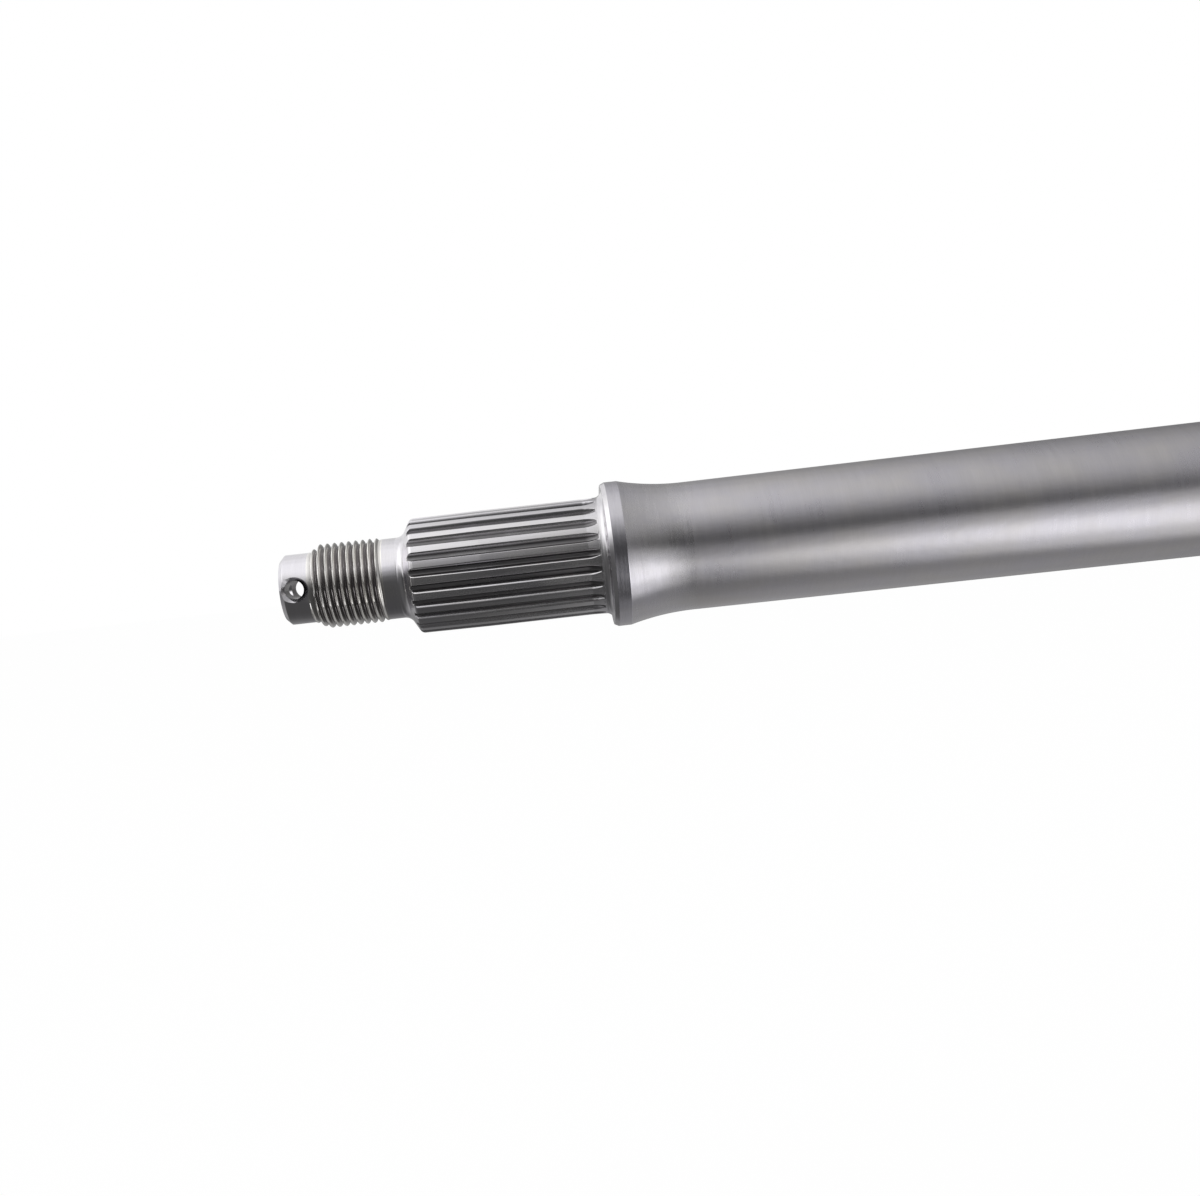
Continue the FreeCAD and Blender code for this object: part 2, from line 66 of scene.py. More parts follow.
# colour, temper, shine, spread, lay, streak, blotch, grain, wave, and where they apply the root colour,
# soil together with painted shade, and milled
FINISHES = {
    "polished_ends": ((0.70, 0.685, 0.73), (0.69, 0.675, 0.68), 0.11, 0.03, 0.3, 0.02, 0.03, 1e-6, 1e-5),
    # the bore's dark colour is painted shade inside the hole; its higher roughness is the drilled finish
    "shaded_drilled_hole": ((0.30, 0.285, 0.29), (0.22, 0.20, 0.20), 0.30, 0.05, 0.0, 0.05, 0.10, 2e-6, 1e-5),
    # the thread's and the spline's last colour darkens their roots by depth: soil together with painted
    # shade
    "rolled_thread": ((0.84, 0.825, 0.82), (0.82, 0.80, 0.75), 0.16, 0.03, 0.1, 0.03, 0.06, 1e-6, 1e-5,
                      (0.23, 0.215, 0.22)),
    "milled_spline": ((0.70, 0.685, 0.72), (0.66, 0.645, 0.65), 0.18, 0.03, 0.0, 0.03, 0.04, 1e-6, 1e-5,
                      (0.19, 0.185, 0.19), True),
    "turned_collar": ((0.59, 0.575, 0.63), (0.58, 0.565, 0.59), 0.21, 0.03, 0.55, 0.04, 0.04, 1e-6, 2e-5),
    "collar_shoulder": ((0.71, 0.695, 0.73), (0.70, 0.685, 0.69), 0.21, 0.03, 0.4, 0.02, 0.03, 1e-6, 1e-5),
    "turned_flare": ((0.555, 0.54, 0.58), (0.56, 0.545, 0.55), 0.27, 0.03, 0.7, 0.03, 0.03, 1e-6, 6e-5),
    "brushed_body": ((0.56, 0.545, 0.585), (0.57, 0.55, 0.555), 0.29, 0.012, 0.75, 0.02, 0.02, 1e-6, 7e-5),
}

# the distance from the shaft's middle at which each stretch stops, in mm, and its finish
STRETCHES = [
    (260.6, "brushed_body"), (277.7, "turned_flare"), (280.6, "turned_collar"),
    (283.08, "collar_shoulder"), (323.6, "milled_spline"), (328.7, "polished_ends"),
    (344.5, "rolled_thread"), (math.inf, "polished_ends")]


def rounded_profile(corners):
    """Points x, r along a turned outline whose corners are softly broken.

    Each row of corners is x, r and a bend radius. A corner with a bend becomes an arc that
    touches both legs: it starts bend * tan(turn / 2) before the corner, and its points are the
    arc's centre plus the start's offset from it turned by even steps of the corner's turn. One
    more point just before and after each arc keeps the legs flat in the shading.
    """
    points = [np.array(corners[0][:2], float)]
    for before, here, after in zip(corners, corners[1:], corners[2:]):
        corner, bend = np.array(here[:2], float), here[2]
        if not bend:
            points.append(corner)
            continue
        arriving, leaving = corner - before[:2], after[:2] - corner
        arriving, leaving = arriving / np.hypot(*arriving), leaving / np.hypot(*leaving)
        turn = math.atan2(arriving[0] * leaving[1] - arriving[1] * leaving[0], arriving @ leaving)
        reach = bend * math.tan(abs(turn) / 2)
        side = math.copysign(1, turn)
        offset = -side * bend * np.array([-arriving[1], arriving[0]])
        centre = corner - reach * arriving - offset
        steps = math.ceil(abs(math.degrees(turn)) / (6 if bend > 1 else 15))
        angle = np.linspace(0, turn, steps + 1)[:, None]
        curve = centre + np.cos(angle) * offset + np.sin(angle) * np.array([-offset[1], offset[0]])
        support = min(0.05, 0.4 * bend)
        points += [curve[0] - support * arriving, *curve, curve[-1] + support * leaving]
    points.append(np.array(corners[-1][:2], float))
    return np.array(points)


def turned_rings(outline):
    """Rings of an outline of revolution: column k stands at the angle 2 pi k / columns from -Z."""
    angle = np.linspace(0, 2 * np.pi, COLUMNS, endpoint=False)
    x, radius = outline[:, :1], outline[:, 1:]
    return np.stack(np.broadcast_arrays(x, radius * np.sin(angle), -radius * np.cos(angle)), axis=-1)


def thread_rings():
    """Rings of the thread, twelve to a turn.

    The phase is x / pitch minus the angle / 2 pi, which climbs as a right-hand thread. The radius
    is that of the crests, which follow the lead cone, less half the depth times one minus the
    hyperbolic tangent of the distance from the middle of the flank, so that crests and roots are
    round. It stays over the nose, and the turns fade into the neck by a smooth step.
    """
    x = np.arange(NOSE_END + 0.05, THREAD_FADE[1] + 0.05, THREAD_PITCH / 12)[:, None]
    angle = np.linspace(0, 2 * np.pi, COLUMNS, endpoint=False)
    phase = (x / THREAD_PITCH - angle / (2 * np.pi)) % 1.0
    from_crest = np.abs(phase - 0.5) * THREAD_PITCH
    half_depth = (THREAD_CREST - THREAD_ROOT) / 2
    flank_middle, softness = 0.359, 0.22
    wave = np.tanh((flank_middle - from_crest) / softness) / math.tanh(flank_middle / softness)
    cone = NOSE_RADIUS + (x - NOSE_END) * math.tan(math.radians(THREAD_LEAD))
    turns = np.maximum(np.minimum(THREAD_CREST, cone) - half_depth * (1 - wave), NOSE_RADIUS)
    share = np.clip((THREAD_FADE[1] - x) / (THREAD_FADE[1] - THREAD_FADE[0]), 0, 1)
    radius = NECK_RADIUS + share ** 2 * (3 - 2 * share) * (turns - NECK_RADIUS)
    return np.stack(np.broadcast_arrays(x, radius * np.sin(angle), -radius * np.cos(angle)), axis=-1)


def half_space(height):
    """Half the width of a tooth space at a height over its floor: the flank is an arc that stands
    in for the involute, so the width is the hub's distance minus the arc's half chord."""
    rise = ROOT_RADIUS + height - FLANK_HUB[1]
    return FLANK_HUB[0] - np.sqrt(FLANK_BEND ** 2 - rise ** 2)


def space_floor(x):
    """The radius of a space's floor: the root's, and past the cutter's stop the cutter's own arc."""
    run = np.clip(x - CUTTER_STOP, 0, CUTTER_RADIUS * 0.99)
    return ROOT_RADIUS + CUTTER_RADIUS - np.sqrt(CUTTER_RADIUS ** 2 - run ** 2)


def spline_rings(outline):
    """Rings of the spline, sixteen columns to a tooth, from a space's middle to a tooth's middle
    and back.

    The top of the flank is where the flank meets the blank's radius, found by a few rounds of
    height = sqrt(radius^2 - half width^2) - floor. Between floor and flank lies a fillet, and the
    land's edge is broken. Where the blank is under the floor, all columns lie evenly spaced on
    the blank.
    """
    x, blank = outline[:, 0], outline[:, 1]
    floor = space_floor(x)
    height = np.full(len(x), 1.0)
    for _ in range(8):
        height = np.sqrt(blank ** 2 - half_space(height) ** 2) - floor
        height = np.clip(height, 0.02, 1.2)
    bare = blank < floor + 0.01
    fillet = np.minimum(SPACE_FILLET, 0.35 * height)
    edge = np.minimum(LAND_EDGE, 0.25 * height)
    foot = half_space(0 * height)
    side = np.stack([0 * x, foot - fillet, 0.75 * foot - 0.25 * fillet + 0.25 * half_space(fillet),
                     half_space(fillet), half_space((fillet + height - edge) / 2),
                     half_space(height - edge)], axis=-1)
    over = np.stack([0 * x, 0 * x, 0.25 * fillet, fillet, (fillet + height - edge) / 2,
                     height - edge], axis=-1)
    up = floor[:, None] + over
    reach, angle = np.hypot(side, up), np.arctan2(side, up)
    brink = np.arctan2(half_space(height), floor + height)
    land = np.stack([brink + LAND_EDGE / blank, brink + 0.22 / blank, 0 * x + np.pi / TEETH], axis=-1)
    angle = np.concatenate([angle, land], axis=1)
    reach = np.concatenate([reach, np.repeat(blank[:, None], 3, axis=1)], axis=1)
    apart = 0.0016 * np.arange(9)
    angle[:, :8] = (np.maximum.accumulate(angle - apart, axis=1) + apart)[:, :8]
    angle[bare] = np.pi / TEETH * np.arange(9) / 8
    reach = np.where(bare[:, None], blank[:, None], np.minimum(reach, blank[:, None]))
    angle = np.concatenate([angle, 2 * np.pi / TEETH - angle[:, 7:0:-1]], axis=1)
    reach = np.concatenate([reach, reach[:, 7:0:-1]], axis=1)
    turn = 2 * np.pi / TEETH * np.arange(TEETH)[:, None]
    angle = (turn + angle[:, None, :]).reshape(len(x), -1)
    reach = np.tile(reach, (1, TEETH))
    across = np.broadcast_to(x[:, None], reach.shape)
    return np.stack([across, reach * np.sin(angle), -reach * np.cos(angle)], axis=-1)


def grid_faces(first, rows, columns):
    """Quads between neighbouring rings, each ring closed on itself, seen from outside."""
    row, column = np.meshgrid(np.arange(rows - 1), np.arange(columns), indexing="ij")
    near, beside = first + row * columns + column, first + row * columns + (column + 1) % columns
    return np.stack([near, beside, beside + columns, near + columns], axis=-1).reshape(-1, 4)


def ring_angles(ring):
    """Each point's angle round X from -Z."""
    return np.arctan2(ring[:, 1], -ring[:, 2]) % (2 * np.pi)


def joining_faces(fine, fine_first, plain_first, fine_leads):
    """Triangles between a spline ring and a plain ring. Each fine edge takes the nearest plain
    corner, which is its angle times columns / 2 pi, rounded, and each plain edge takes the fine
    corner at which that number steps on."""
    count = len(fine)
    here = np.arange(count)
    after = (here + 1) % count
    nearest = np.rint(ring_angles(fine) * COLUMNS / (2 * np.pi)).astype(int) % COLUMNS
    steps = nearest[after] != nearest
    fans = np.stack([fine_first + here, fine_first + after, plain_first + nearest], axis=-1)
    fills = np.stack([fine_first + after, plain_first + nearest[after], plain_first + nearest], axis=-1)
    faces = np.concatenate([fans, fills[steps]])
    return faces if fine_leads else faces[:, ::-1]


def tooth_outline():
    """Points x, r along the tips of the teeth, with more of them where the spaces begin and end."""
    lift = math.tan(math.radians(60))
    tips = rounded_profile([
        (TEETH_START, 10.1 + 0.085 * lift, 0), (-322.398, LEAD_RADIUS, 1.05), (-308.0, TOOTH_RADIUS, 0.3),
        (-285.6, TOOTH_RADIUS, 1.0), (TEETH_STOP, 12.485, 0)])
    stations = np.concatenate([tips[:, 0], np.linspace(TEETH_START, -322.7, 6), np.linspace(-318, -290, 4),
                               np.linspace(-286.2, TEETH_STOP, 18)])
    stations = np.unique(np.round(stations, 3))
    return np.stack([stations, np.interp(stations, tips[:, 0], tips[:, 1])], axis=-1)


def half_shaft():
    """Vertices, quads and triangles of the end at -X, up to the ring in the middle of the shaft."""
    end = rounded_profile([
        (-346.4, 1.0, 0), (-348.55, 1.0, 0), (SHAFT_END, 2.125, 0.1), (SHAFT_END, 6.45, 0.15),
        (-349.5, NOSE_RADIUS, 0.25), (NOSE_END, NOSE_RADIUS, 0)])
    neck = rounded_profile([
        (-328.6, NECK_RADIUS, 0), (-324.511, NECK_RADIUS, 2.4), (-323.7, 10.005, 0)])
    teeth = tooth_outline()
    body = rounded_profile([
        (-283.05, 12.488, 0), (COLLAR_FACE, 12.583, 1.4), (COLLAR_FACE, 15.05, 0.15),
        (-280.6, COLLAR_RADIUS, 0.06), (COLLAR_REAR, COLLAR_RADIUS, 0.25), (-277.0, 15.3, 0)])[:-1]
    seat = rounded_profile([
        (-200.0, 14.2145, 0), (TAPER_STOP, TAPER_RADIUS, 0.4), (SEAT_START, SEAT_RADIUS, 0.4),
        (0.0, SEAT_RADIUS, 0)])[1:]
    along = np.linspace(-255, -110, 12)
    taper_radius = np.interp(along, (WAIST_X, TAPER_STOP), (WAIST_RADIUS, TAPER_RADIUS))
    taper = np.stack([along, taper_radius], axis=-1)
    plain = np.concatenate([body, flare_profile(), taper, seat])

    nose, threads = turned_rings(end), thread_rings()
    front = np.concatenate([nose, threads, turned_rings(neck)])
    spline, back = spline_rings(teeth), turned_rings(plain)
    verts = np.concatenate([[[CENTRE_TIP, 0.0, 0.0]], front.reshape(-1, 3), spline.reshape(-1, 3),
                            back.reshape(-1, 3)])
    spline_first = 1 + front.shape[0] * COLUMNS
    back_first = spline_first + spline.shape[0] * spline.shape[1]
    quads = np.concatenate([grid_faces(1, front.shape[0], COLUMNS),
                            grid_faces(spline_first, spline.shape[0], spline.shape[1]),
                            grid_faces(back_first, back.shape[0], COLUMNS)])
    column = np.arange(COLUMNS)
    point = np.stack([0 * column, 1 + (column + 1) % COLUMNS, 1 + column], axis=-1)
    triangles = np.concatenate([
        point, joining_faces(spline[0], spline_first, spline_first - COLUMNS, False),
        joining_faces(spline[-1], back_first - spline.shape[1], back_first, True)])
    return verts, quads, triangles


def flare_profile():
    """Points of the hollow flare from the collar's rear edge to the waist: the arc through both
    that runs into the taper, so its centre lies square to the taper over the waist, at the chord
    squared over twice the chord's rise from it."""
    slope = math.atan2(TAPER_RADIUS - WAIST_RADIUS, TAPER_STOP - WAIST_X)
    waist, rim = np.array([WAIST_X, WAIST_RADIUS]), np.array([COLLAR_REAR, COLLAR_RADIUS])
    normal = np.array([-math.sin(slope), math.cos(slope)])
    chord = rim - waist
    bend = chord @ chord / (2 * chord @ normal)
    centre = waist + bend * normal
    first, last = np.arctan2(*(rim - centre)[::-1]), np.arctan2(*(waist - centre)[::-1])
    angle = np.linspace(first, last, 18)[:, None]
    curve = centre + bend * np.concatenate([np.cos(angle), np.sin(angle)], axis=1)
    return curve[curve[:, 0] > -277.6]


def whole_shaft():
    """The half end, and the same half turned half a turn about Z: x and y change sign. Both meet
    in one ring at the middle, whose column k is column -k of the turned half."""
    verts, quads, triangles = half_shaft()
    kept = len(verts) - COLUMNS
    partner = np.concatenate([len(verts) + np.arange(kept), kept + (-np.arange(COLUMNS)) % COLUMNS])
    verts = np.concatenate([verts, verts[:kept] * (-1, -1, 1)])
    return verts, np.concatenate([quads, partner[quads]]), np.concatenate([triangles, partner[triangles]])


def mesh_object(name, verts, faces):
    """An object from vertices in millimetres and faces, written in metres."""
    mesh = bpy.data.meshes.new(name)
    mesh.from_pydata((verts * MM).tolist(), [], faces)
    mesh.update()
    made = bpy.data.objects.new(name, mesh)
    bpy.context.scene.collection.objects.link(made)
    return made


def cotter_drill(place):
    """The hole with its countersinks as a closed solid of revolution about Y: column k stands at
    the angle 2 pi k / columns, and its radius follows the wall and a 45 degree cone at both ends."""
    sink, mouth, lid, wide = 6.3, 8.3, 9.45, 4.0
    y = np.array([-lid, -mouth, -sink, sink, mouth, lid])
    radius = np.array([wide, wide, COTTER_RADIUS, COTTER_RADIUS, wide, wide])
    angle = np.linspace(0, 2 * np.pi, DRILL_COLUMNS, endpoint=False)
    rings = np.stack(np.broadcast_arrays(place + radius[:, None] * np.cos(angle), y[:, None],
                                         -radius[:, None] * np.sin(angle)), axis=-1)
    last_ring = (len(y) - 1) * DRILL_COLUMNS
    lids = [list(range(DRILL_COLUMNS))[::-1], list(range(last_ring, last_ring + DRILL_COLUMNS))]
    return rings.reshape(-1, 3), grid_faces(0, len(y), DRILL_COLUMNS).tolist() + lids


def drill_cotter_holes(shaft):
    """Cut both cotter holes out of the shaft's mesh."""
    for place in (COTTER_X, -COTTER_X):
        drill = mesh_object("cotter_drill", *cotter_drill(place))
        cut = shaft.modifiers.new("cotter_hole", "BOOLEAN")
        cut.operation, cut.solver, cut.object = "DIFFERENCE", "MANIFOLD", drill
        bpy.context.view_layer.update()
        drilled = shaft.evaluated_get(bpy.context.evaluated_depsgraph_get())
        drilled_mesh = bpy.data.meshes.new_from_object(drilled)
        shaft.modifiers.remove(cut)
        shaft.data = drilled_mesh
        bpy.data.objects.remove(drill)


def node(tree, kind, place, **settings):
    """A shader node of a kind at a place, with its settings."""
    made = tree.nodes.new(kind)
    made.location = place
    for name, value in settings.items():
        setattr(made, name, value)
    return made


def marks(tree, place, stretch, detail, y):
    """Noise on the shaft's own coordinates, stretched by three numbers for each metre."""
    stretched = node(tree, "ShaderNodeMapping", (-1000, y))
    stretched.inputs["Scale"].default_value = stretch
    noise = node(tree, "ShaderNodeTexNoise", (-800, y))
    noise.inputs["Scale"].default_value = 1.0
    noise.inputs["Detail"].default_value = detail
    noise.inputs["Roughness"].default_value = 0.6
    tree.links.new(place.outputs["Object"], stretched.inputs["Vector"])
    tree.links.new(stretched.outputs["Vector"], noise.inputs["Vector"])
    return noise.outputs["Fac"]


def ranged(tree, value, source, target, spot):
    """The value carried from the source range to the target range, held at its ends."""
    made = node(tree, "ShaderNodeMapRange", spot)
    for socket, limit in zip(("From Min", "From Max", "To Min", "To Max"), source + target):
        made.inputs[socket].default_value = limit
    tree.links.new(value, made.inputs["Value"])
    return made.outputs["Result"]


def worked(tree, operation, first, second, spot):
    """A sum, product or other operation on two sockets or numbers."""
    made = node(tree, "ShaderNodeMath", spot, operation=operation)
    for socket, value in zip(made.inputs, (first, second)):
        if isinstance(value, float):
            socket.default_value = value
        else:
            tree.links.new(value, socket)
    return made.outputs["Value"]


def blended(tree, share, first, second, spot):
    """The second colour laid over the first by its share. Each is a socket or three numbers."""
    made = node(tree, "ShaderNodeMix", spot, data_type="RGBA")
    tree.links.new(share, made.inputs["Factor"])
    for socket, colour in zip([s for s in made.inputs if s.type == "RGBA"], (first, second)):
        if isinstance(colour, tuple):
            socket.default_value = (*colour, 1)
        else:
            tree.links.new(colour, socket)
    return [s for s in made.outputs if s.type == "RGBA"][0]


def bare_steel(name, colour, temper, shine, spread, lay, streak, blotch, grain, wave, soil_and_shade=None,
               milled=False):
    """Bare machined steel with fine marks that run round the shaft, or along it where milled.

    temper is the colour that the stains turn to, shine the mean roughness and spread how far it
    varies. lay is how much more the steel blurs along the shaft than round it. streak and blotch
    are how far the marks and the stains change the brightness, grain is the depth of the marks and
    wave that of the long shallow waves, both in metres. The last colour is laid in the roots by
    depth: soil together with painted shade.
    """
    steel = bpy.data.materials.new(name)
    steel.use_nodes = True
    tree = steel.node_tree
    tree.nodes.clear()
    output = node(tree, "ShaderNodeOutputMaterial", (900, 0))
    metal = node(tree, "ShaderNodeBsdfPrincipled", (600, 0))
    metal.inputs["Metallic"].default_value = 1.0
    metal.inputs["Anisotropic"].default_value = lay
    metal.inputs["Anisotropic Rotation"].default_value = 0.25
    place = node(tree, "ShaderNodeTexCoord", (-1200, 0))
    fine = marks(tree, place, (150.0, 3600.0, 3600.0) if milled else (5200.0, 300.0, 300.0), 3.0, 300)
    broad = marks(tree, place, (40.0, 900.0, 900.0) if milled else (700.0, 60.0, 60.0), 4.0, 0)
    stains = marks(tree, place, (70.0, 110.0, 110.0), 5.0, -300)
    middle = (0.35, 0.65)

    shade = worked(tree, "MULTIPLY", ranged(tree, broad, middle, (1 - streak, 1 + streak), (-550, 500)),
                   ranged(tree, fine, middle, (1 - streak, 1 + streak), (-550, 300)), (-300, 400))
    clouds = ranged(tree, stains, middle, (1 - blotch, 1 + blotch), (-550, 100))
    shade = worked(tree, "MULTIPLY", shade, clouds, (-100, 300))
    base = blended(tree, ranged(tree, stains, middle, (0.0, 1.0), (-550, 700)), colour, temper, (-100, 600))
    rough = worked(tree, "ADD", ranged(tree, broad, middle, (shine - spread, shine + spread), (-550, -100)),
                   ranged(tree, stains, middle, (-spread, spread), (-550, -300)), (-100, -100))
    # the roots darken by depth, soil together with painted shade, and grow a little rougher
    if soil_and_shade:
        depth = node(tree, "ShaderNodeAttribute", (-800, 900), attribute_name="soil_and_shade")
        uneven = ranged(tree, stains, middle, (0.85, 1.15), (-550, 1100))
        soiled_and_shaded = worked(tree, "MULTIPLY", depth.outputs["Fac"], uneven, (-300, 1000))
        soiled_and_shaded = ranged(tree, soiled_and_shaded, (0.1, 1.0), (0.0, 1.0), (-100, 900))
        base = blended(tree, soiled_and_shaded, base, soil_and_shade, (50, 700))
        rough = worked(tree, "ADD", rough, worked(tree, "MULTIPLY", soiled_and_shaded, 0.12, (-100, -300)), (50, -150))
    tint = node(tree, "ShaderNodeVectorMath", (250, 400), operation="SCALE")
    tree.links.new(base, tint.inputs[0])
    tree.links.new(shade, tint.inputs["Scale"])
    waves = node(tree, "ShaderNodeBump", (100, -300))
    waves.inputs["Distance"].default_value = wave
    tree.links.new(stains, waves.inputs["Height"])
    relief = node(tree, "ShaderNodeBump", (300, -200))
    relief.inputs["Distance"].default_value = grain
    tree.links.new(waves.outputs["Normal"], relief.inputs["Normal"])
    tangent = node(tree, "ShaderNodeTangent", (300, -400), direction_type="RADIAL", axis="X")
    tree.links.new(fine, relief.inputs["Height"])
    tree.links.new(tint.outputs["Vector"], metal.inputs["Base Color"])
    tree.links.new(rough, metal.inputs["Roughness"])
    tree.links.new(relief.outputs["Normal"], metal.inputs["Normal"])
    tree.links.new(tangent.outputs["Tangent"], metal.inputs["Tangent"])
    tree.links.new(metal.outputs["BSDF"], output.inputs["Surface"])
    return steel


def lay_soil_and_shade(mesh):
    """How deep each point lies under the tips of the teeth or the crests of the thread, as a share
    of the depth there: the outline's radius less the point's own, over the outline's less the
    floor's. The materials darken the roots by it, as soil together with painted shade. Where a
    space runs out, its floor keeps the darkening until the space ends."""
    places = np.empty(3 * len(mesh.vertices))
    mesh.vertices.foreach_get("co", places)
    x, y, z = places.reshape(-1, 3).T / MM
    along, radius = -np.abs(x), np.hypot(y, z)
    tips = tooth_outline()
    in_spline = (along > tips[0, 0]) & (along < tips[-1, 0])
    in_thread = (along > NOSE_END) & (along < THREAD_FADE[1])
    cone = NOSE_RADIUS + (along - NOSE_END) * math.tan(math.radians(THREAD_LEAD))
    blank = np.interp(along, tips[:, 0], tips[:, 1])
    in_space = (blank - radius) / np.maximum(blank - space_floor(along), 0.12)
    in_turn = (np.minimum(THREAD_CREST, cone) - radius) / (THREAD_CREST - THREAD_ROOT)
    depth = np.clip(in_spline * in_space + in_thread * in_turn, 0, 1)
    # this depth drives the soil and painted shade in the roots
    soil_and_shade = mesh.attributes.new("soil_and_shade", "FLOAT", "POINT")
    soil_and_shade.data.foreach_set("value", depth.astype(np.float32))


def finish_by_place(mesh, finishes):
    """Give each face the finish of the stretch of shaft, or of the hole, that its middle lies in."""
    for steel in finishes.values():
        mesh.materials.append(steel)
    names = list(finishes)
    stops, finished = zip(*STRETCHES)
    middles = np.empty(3 * len(mesh.polygons))
    mesh.polygons.foreach_get("center", middles)
    x, y, z = middles.reshape(-1, 3).T / MM
    finish = np.array([names.index(name) for name in finished])[np.searchsorted(stops, np.abs(x))]
    # the bore's faces take the dark hole colour, which is painted shade
    in_hole = np.hypot(np.abs(x) + COTTER_X, z) < COTTER_RADIUS * 1.01
    finish[in_hole & (np.abs(y) < NOSE_RADIUS)] = names.index("shaded_drilled_hole")
    mesh.polygons.foreach_set("material_index", finish.astype(np.int32))


def make_shaft():
    """Build, drill and finish the shaft."""
    verts, quads, triangles = whole_shaft()
    shaft = mesh_object("shaft_surface", verts, quads.tolist() + triangles.tolist())
    drill_cotter_holes(shaft)
    shaft.data.name = "shaft_surface"
    shaft.data.materials.clear()
    # depth under the tips, for the soil and painted shade in the roots
    lay_soil_and_shade(shaft.data)
    finishes = {name: bare_steel(name, *values) for name, values in FINISHES.items()}
    finish_by_place(shaft.data, finishes)
    shaft.data.shade_smooth()
    shaft.data.set_sharp_from_angle(angle=math.radians(33))
    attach(shaft, "root")
    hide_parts("axle_shaft")


def make_floor():
    """A pale level floor well below the shaft. The camera sees it nearly white, with the shaft's
    soft shadow, and the steel mirrors the darker room instead of it."""
    corners = np.array([(-1, -1), (1, -1), (1, 1), (-1, 1)]) * FLOOR_HALF
    corners = np.column_stack([corners, np.full(4, FLOOR_LEVEL)])
    floor = mesh_object("floor", corners / MM, [[0, 1, 2, 3]])
    floor.visible_glossy = False
    pale = bpy.data.materials.new("pale_floor")
    pale.use_nodes = True
    tree = pale.node_tree
    tree.nodes.clear()
    output = node(tree, "ShaderNodeOutputMaterial", (600, 0))
    mixed = node(tree, "ShaderNodeMixShader", (400, 0))
    lit = node(tree, "ShaderNodeBsdfDiffuse", (100, 100))
    lit.inputs["Color"].default_value = (0.86, 0.86, 0.86, 1)
    glow = node(tree, "ShaderNodeEmission", (100, -100))
    glow.inputs["Color"].default_value = (1, 1, 1, 1)
    ray = node(tree, "ShaderNodeLightPath", (-300, 200))
    part = node(tree, "ShaderNodeMath", (-100, 200), operation="MULTIPLY")
    part.inputs[1].default_value = 0.975
    tree.links.new(ray.outputs["Is Camera Ray"], part.inputs[0])
    tree.links.new(part.outputs["Value"], mixed.inputs["Fac"])
    tree.links.new(lit.outputs["BSDF"], mixed.inputs[1])
    tree.links.new(glow.outputs["Emission"], mixed.inputs[2])
    tree.links.new(mixed.outputs["Shader"], output.inputs["Surface"])
    floor.data.materials.append(pale)


def room_ramp(tree, value, stops, spot):
    """A smooth ramp over a socket from 0 to 1. stops are pairs of place and level."""
    made = node(tree, "ShaderNodeValToRGB", spot)
    made.color_ramp.interpolation = "EASE"
    steps = made.color_ramp.elements
    while len(steps) < len(stops):
        steps.new(0.5)
    for step, (place, level) in zip(steps, stops):
        step.position = place
        step.color = (level, level, level, 1)
    tree.links.new(value, made.inputs["Fac"])
    return made.outputs["Color"]


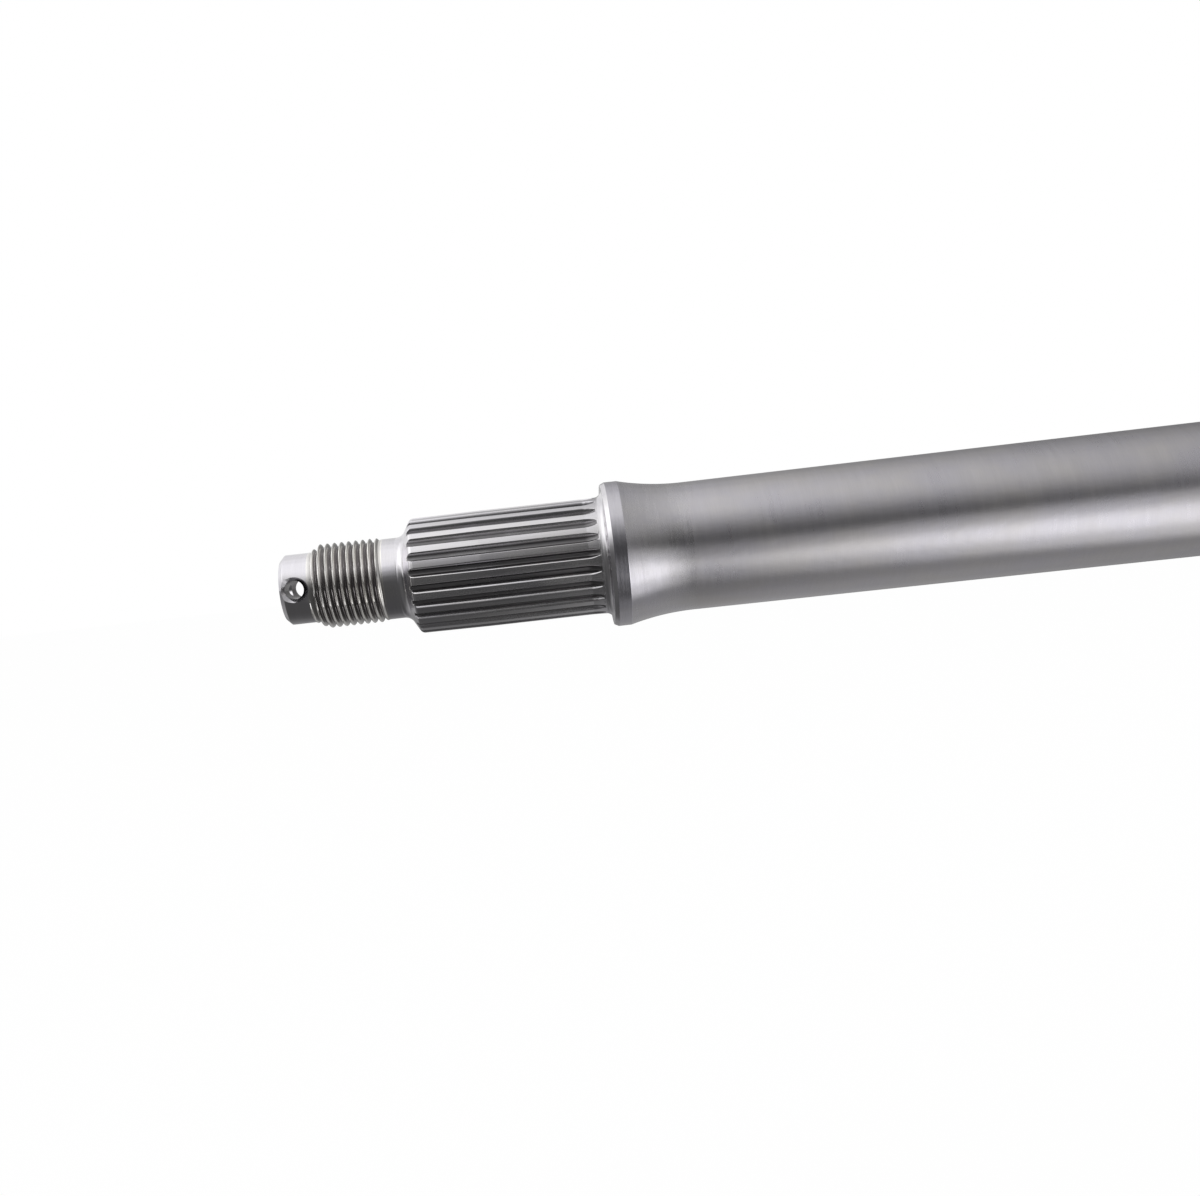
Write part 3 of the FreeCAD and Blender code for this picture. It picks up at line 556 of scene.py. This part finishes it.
def make_room():
    """The room round the shaft, which the steel mirrors: soft white above, dark in front and below,
    paler low behind, and a wide pale panel low in front past the far end.

    The general light is a ramp over the angle round X, which is -180 degrees behind, -90 above, 0
    in front and 90 below, times a ramp over the X direction. Another ramp over the X direction says
    how far down in front it reaches. The panel, the low back light and the pale wall behind, on the
    photographed end's side, are ramps over the same two.
    """
    general_level, panel_level, low_level, wall_level = 1.25, 2.4, 0.34, 0.5
    world = bpy.data.worlds.new("studio_room")
    bpy.context.scene.world = world
    world.use_nodes = True
    tree = world.node_tree
    tree.nodes.clear()
    output = node(tree, "ShaderNodeOutputWorld", (1200, 0))
    light = node(tree, "ShaderNodeBackground", (1000, 0))
    place = node(tree, "ShaderNodeTexCoord", (-1000, 0))
    split = node(tree, "ShaderNodeSeparateXYZ", (-800, 0))
    tree.links.new(place.outputs["Generated"], split.inputs["Vector"])
    along = split.outputs["X"]
    front = worked(tree, "MULTIPLY", split.outputs["Y"], -1.0, (-600, 100))
    down = worked(tree, "MULTIPLY", split.outputs["Z"], -1.0, (-600, -100))
    angle = worked(tree, "ARCTAN2", down, front, (-400, 0))
    share = worked(tree, "ADD", worked(tree, "DIVIDE", angle, 2 * math.pi, (-250, 0)), 0.5, (-100, 0))
    sideways = worked(tree, "ADD", worked(tree, "MULTIPLY", along, 0.5, (-250, -300)), 0.5, (-100, -300))

    def turned(stops):
        return [((degrees + 180) / 360, level) for degrees, level in stops]

    def to_side(stops):
        return [((x + 1) / 2, level) for x, level in stops]

    edge = room_ramp(tree, sideways, to_side(
        [(-1.0, 0.03), (-0.65, 0.04), (-0.42, 0.085), (-0.33, 0.085), (-0.235, 0.01), (-0.16, 0.07),
         (-0.06, 0.045), (0.01, 0.0), (0.12, 0.0), (0.3, 0.04), (0.42, 0.067), (1.0, 0.2)]), (0, 500))
    lowered = worked(tree, "SUBTRACT", share, edge, (150, 400))
    lowered = worked(tree, "MAXIMUM", lowered, 0.25, (150, 200))
    reaching = worked(tree, "MINIMUM", share, lowered, (200, 300))
    above = room_ramp(tree, reaching, turned(
        [(-180, 0.30), (-150, 0.46), (-125, 0.68), (-105, 0.88), (-85, 1.0), (-65, 0.93), (-53, 0.62),
         (-41, 0.32), (-28, 0.13), (-14, 0.075), (10, 0.065), (70, 0.065), (90, 0.08), (112, 0.14),
         (135, 0.21), (160, 0.26), (180, 0.28)]), (250, 300))
    reach = room_ramp(tree, sideways, to_side(
        [(-1.0, 0.8), (-0.85, 1.3), (-0.65, 1.35), (-0.45, 1.0), (-0.15, 1.0), (0.0, 0.80), (0.12, 0.66),
         (0.3, 0.50), (0.5, 0.38), (1.0, 0.33)]), (250, 0))
    general = worked(tree, "MULTIPLY", worked(tree, "MULTIPLY", above, reach, (450, 200)), general_level,
                     (600, 200))
    early = worked(tree, "ADD", share, worked(tree, "MULTIPLY", along, 0.1, (-100, -300)), (0, -300))
    rising = room_ramp(tree, early, turned([(2, 0.0), (25, 0.45), (45, 1.0)]), (250, -300))
    late = worked(tree, "SUBTRACT", share, worked(tree, "MULTIPLY", along, 0.17, (-100, -450)), (0, -450))
    falling = room_ramp(tree, late, turned([(20, 1.0), (40, 0.55), (66, 0.0)]), (250, -450))
    height = worked(tree, "MULTIPLY", rising, falling, (400, -350))
    far = room_ramp(tree, sideways, to_side(
        [(-0.1, 0.0), (0.08, 0.02), (0.34, 1.0), (0.44, 0.85), (0.55, 0.45), (0.7, 0.2), (1.0, 0.1)]),
        (250, -600))
    panel = worked(tree, "MULTIPLY", worked(tree, "MULTIPLY", height, far, (450, -300)), panel_level,
                   (600, -300))
    low = room_ramp(tree, share, turned([(58, 0.0), (90, 0.9), (112, 1.0), (140, 0.8), (180, 0.4)]),
                    (250, -900))
    wide = room_ramp(tree, sideways, to_side([(-0.05, 0.0), (0.15, 1.0)]), (250, -1200))
    back = worked(tree, "MULTIPLY", worked(tree, "MULTIPLY", low, wide, (450, -900)), low_level,
                  (600, -900))
    behind = room_ramp(tree, share, turned([(-180, 1.0), (-150, 0.6), (-120, 0.2), (-100, 0.0)]),
                       (250, -1500))
    end_side = room_ramp(tree, sideways, to_side([(-0.16, 1.0), (-0.05, 0.0)]), (250, -1800))
    wall = worked(tree, "MULTIPLY", worked(tree, "MULTIPLY", behind, end_side, (450, -1500)), wall_level,
                  (600, -1500))
    back = worked(tree, "ADD", back, wall, (700, -1200))
    seen = worked(tree, "ADD", worked(tree, "ADD", general, panel, (750, 0)), back, (850, -200))
    ray = node(tree, "ShaderNodeLightPath", (600, 500))
    level = node(tree, "ShaderNodeMix", (900, 200), data_type="FLOAT")
    tree.links.new(ray.outputs["Is Camera Ray"], level.inputs["Factor"])
    tree.links.new(seen, level.inputs["A"])
    level.inputs["B"].default_value = 1.0
    tree.links.new(level.outputs["Result"], light.inputs["Strength"])
    tree.links.new(light.outputs["Background"], output.inputs["Surface"])
    light.inputs["Color"].default_value = (1, 1, 1, 1)


def make_lamp():
    """One wide soft lamp high over the shaft."""
    data = bpy.data.lights.new("soft_lamp", "AREA")
    data.shape, data.size, data.size_y, data.energy = "RECTANGLE", 1.8, 1.2, 9.0
    lamp = bpy.data.objects.new("soft_lamp", data)
    bpy.context.scene.collection.objects.link(lamp)
    lamp.location = (-0.3, -0.1, 1.7)
    lamp.visible_camera = False
    lamp.visible_glossy = False


def make_camera():
    """The camera looks nearly square at the shaft from in front and a little down, and is rolled.
    One picture element of the 1200 x 1196 frame is 0.215 mm at the shaft. Its distance and its
    place under the shaft's line are in picture elements."""
    element, focal, under, looked_at = 0.000215, 1300.0, 42.4, -0.28296
    turned, rolled = math.radians(2.0945), math.radians(6.4085)
    forward = Vector((math.sin(turned), math.cos(turned), 0))
    right = Vector((math.cos(turned) * math.cos(rolled), -math.sin(turned) * math.cos(rolled),
                    -math.sin(rolled)))
    up = right.cross(forward)
    raised = Matrix.Rotation(math.radians(-2.7), 4, "X")
    data = bpy.data.cameras.new("camera")
    data.sensor_width, data.lens = 36.0, 36.0 * focal / 1200
    data.clip_start, data.clip_end = 0.01, 50.0
    camera = bpy.data.objects.new("camera", data)
    bpy.context.scene.collection.objects.link(camera)
    place = Vector((looked_at, 0, 0)) - under * element * up - focal * element * forward
    facing = Matrix((right, up, -forward)).transposed().to_4x4()
    camera.matrix_world = raised @ Matrix.Translation(place) @ facing
    bpy.context.scene.camera = camera


bpy.context.scene.view_settings.view_transform = "Standard"
make_camera()
make_room()
make_lamp()
make_floor()
make_shaft()
